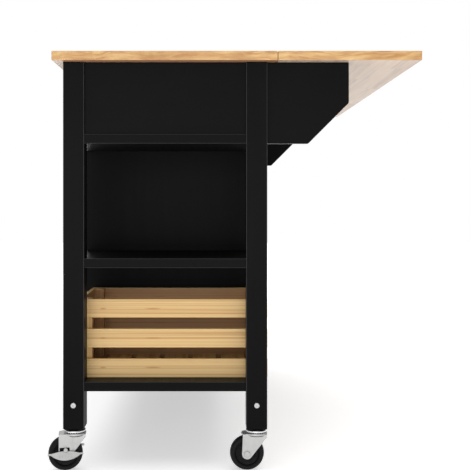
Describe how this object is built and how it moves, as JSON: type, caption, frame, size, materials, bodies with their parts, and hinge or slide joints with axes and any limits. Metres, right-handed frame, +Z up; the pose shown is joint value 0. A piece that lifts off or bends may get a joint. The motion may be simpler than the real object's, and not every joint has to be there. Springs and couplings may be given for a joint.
{
  "type": "kitchen island cart",
  "caption": "Rolling kitchen island cart with a wood worktop, a drop leaf on swing-out brackets, drawers, a cupboard, an open end bay with shelf and slatted crate, and braked casters.",
  "frame": {"origin": "on the floor, under the middle of the whole cart with its leaf raised", "axes": "+X along the cart to its open end, +Y to the drop leaf at the back, -Y to the doors and drawers, +Z up"},
  "size_m": [1.2, 0.7993, 0.9],
  "materials": {
    "top_wood": "clear satin oil on light finger-jointed hardwood",
    "black_paint": "satin black lacquer on wood",
    "crate_pine": "clear satin lacquer on pine",
    "drawer_wood": "bare planed wood",
    "knob_metal": "satin black",
    "hinge_steel": "black zinc plate",
    "bolt_steel": "bright zinc plate",
    "race_chrome": "bright chrome plate",
    "caster_steel": "satin zinc plate",
    "wheel_black": "hard matt black rubber"
  },
  "bodies": {
    "frame": {"worktop": "top_wood", "deck_board": "black_paint", "bay_shelf": "black_paint", "base_board": "black_paint", "end_panel_open": "black_paint", "end_panel_cabinet": "black_paint", "cabinet_side_panel": "black_paint", "bay_partition": "black_paint", "cabinet_shelf": "black_paint", "shelf_pins": "bolt_steel", "back_rail": "black_paint", "back_panel": "black_paint", "front_top_rail": "black_paint", "drawer_stile": "black_paint", "drawer_runners": "drawer_wood", "leaf_hinges_fixed": "hinge_steel", "bracket_hinges_fixed": "hinge_steel", "door_hinges_fixed": "hinge_steel", "leg_front_open": "black_paint", "leg_back_open": "black_paint", "leg_front_cabinet": "black_paint", "leg_back_cabinet": "black_paint", "caster_stems": "race_chrome", "caster_races": "race_chrome", "stem_sockets": "bolt_steel", "cross_bolts": "bolt_steel"},
    "leaf": {"leaf": "top_wood", "leaf_hinge_leaves": "hinge_steel"},
    "bracket_open": {"bracket_open": "black_paint", "bracket_hinge_leaf_open": "hinge_steel"},
    "bracket_cabinet": {"bracket_cabinet": "black_paint", "bracket_hinge_leaf_cabinet": "hinge_steel"},
    "drawer_open": {"drawer_front_open": "black_paint", "drawer_walls_open": "drawer_wood", "drawer_bottom_open": "drawer_wood", "drawer_knob_open": "knob_metal"},
    "drawer_cabinet": {"drawer_front_cabinet": "black_paint", "drawer_walls_cabinet": "drawer_wood", "drawer_bottom_cabinet": "drawer_wood", "drawer_knob_cabinet": "knob_metal"},
    "door_open": {"door_open": "black_paint", "door_knob_open": "knob_metal", "door_hinge_leaves_open": "hinge_steel"},
    "door_cabinet": {"door_cabinet": "black_paint", "door_knob_cabinet": "knob_metal", "door_hinge_leaves_cabinet": "hinge_steel"},
    "crate": {"crate_side_slats": "crate_pine", "crate_end_slats": "crate_pine", "crate_posts": "crate_pine", "crate_floor": "crate_pine"},
    "swivel_front_open": {"caster_fork_front_open": "caster_steel"},
    "wheel_front_open": {"caster_wheel_front_open": "wheel_black"},
    "brake_front_open": {"brake_pedal_front_open": "caster_steel"},
    "swivel_back_open": {"caster_fork_back_open": "caster_steel"},
    "wheel_back_open": {"caster_wheel_back_open": "wheel_black"},
    "swivel_front_cabinet": {"caster_fork_front_cabinet": "caster_steel"},
    "wheel_front_cabinet": {"caster_wheel_front_cabinet": "wheel_black"},
    "brake_front_cabinet": {"brake_pedal_front_cabinet": "caster_steel"},
    "swivel_back_cabinet": {"caster_fork_back_cabinet": "caster_steel"},
    "wheel_back_cabinet": {"caster_wheel_back_cabinet": "wheel_black"}
  },
  "joints": [
    {"name": "leaf_lift", "type": "hinge", "parent": "frame", "child": "leaf", "pos_m": [0, 0.0944, 0.8768], "axis": [1, 0, 0], "range_deg": [0, 2]},
    {"name": "bracket_open_swing", "type": "hinge", "parent": "frame", "child": "bracket_open", "pos_m": [0.5555, 0.0754, 0.705], "axis": [0, 0, 1], "range_deg": [0, 90]},
    {"name": "bracket_cabinet_swing", "type": "hinge", "parent": "frame", "child": "bracket_cabinet", "pos_m": [-0.5555, 0.0754, 0.705], "axis": [0, 0, -1], "range_deg": [0, 90]},
    {"name": "drawer_open_slide", "type": "slide", "parent": "frame", "child": "drawer_open", "axis": [0, -1, 0], "range_m": [0, 0.28]},
    {"name": "drawer_cabinet_slide", "type": "slide", "parent": "frame", "child": "drawer_cabinet", "axis": [0, -1, 0], "range_m": [0, 0.28]},
    {"name": "door_cabinet_hinge", "type": "hinge", "parent": "frame", "child": "door_cabinet", "pos_m": [-0.534, -0.3674, 0.196], "axis": [0, 0, -1], "range_deg": [0, 90]},
    {"name": "door_open_hinge", "type": "hinge", "parent": "frame", "child": "door_open", "pos_m": [0.269, -0.3674, 0.196], "axis": [0, 0, 1], "range_deg": [0, 90]},
    {"name": "crate_slide", "type": "slide", "parent": "frame", "child": "crate", "axis": [0, -1, 0], "range_m": [-0.2, 0.2]},
    {"name": "caster_front_open_swivel", "type": "hinge", "parent": "frame", "child": "swivel_front_open", "pos_m": [0.5575, -0.3426, 0.09], "axis": [0, 0, 1], "continuous": true},
    {"name": "caster_front_open_roll", "type": "hinge", "parent": "swivel_front_open", "child": "wheel_front_open", "pos_m": [0.56103, -0.36259, 0.037], "axis": [0.9848, 0.1736, 0], "continuous": true},
    {"name": "brake_front_open_rock", "type": "hinge", "parent": "swivel_front_open", "child": "brake_front_open", "pos_m": [0.56103, -0.36259, 0.0485], "axis": [0.9848, 0.1736, 0], "range_deg": [-12, 12]},
    {"name": "caster_back_open_swivel", "type": "hinge", "parent": "frame", "child": "swivel_back_open", "pos_m": [0.5575, 0.0504, 0.09], "axis": [0, 0, 1], "continuous": true},
    {"name": "caster_back_open_roll", "type": "hinge", "parent": "swivel_back_open", "child": "wheel_back_open", "pos_m": [0.5575, 0.0301, 0.037], "axis": [1, 0, 0], "continuous": true},
    {"name": "caster_front_cabinet_swivel", "type": "hinge", "parent": "frame", "child": "swivel_front_cabinet", "pos_m": [-0.5575, -0.3426, 0.09], "axis": [0, 0, 1], "continuous": true},
    {"name": "caster_front_cabinet_roll", "type": "hinge", "parent": "swivel_front_cabinet", "child": "wheel_front_cabinet", "pos_m": [-0.5575, -0.3223, 0.037], "axis": [-1, 0, 0], "continuous": true},
    {"name": "brake_front_cabinet_rock", "type": "hinge", "parent": "swivel_front_cabinet", "child": "brake_front_cabinet", "pos_m": [-0.5575, -0.3223, 0.0485], "axis": [-1, 0, 0], "range_deg": [-12, 12]},
    {"name": "caster_back_cabinet_swivel", "type": "hinge", "parent": "frame", "child": "swivel_back_cabinet", "pos_m": [-0.5575, 0.0504, 0.09], "axis": [0, 0, 1], "continuous": true},
    {"name": "caster_back_cabinet_roll", "type": "hinge", "parent": "swivel_back_cabinet", "child": "wheel_back_cabinet", "pos_m": [-0.5575, 0.0301, 0.037], "axis": [1, 0, 0], "continuous": true}
  ]
}
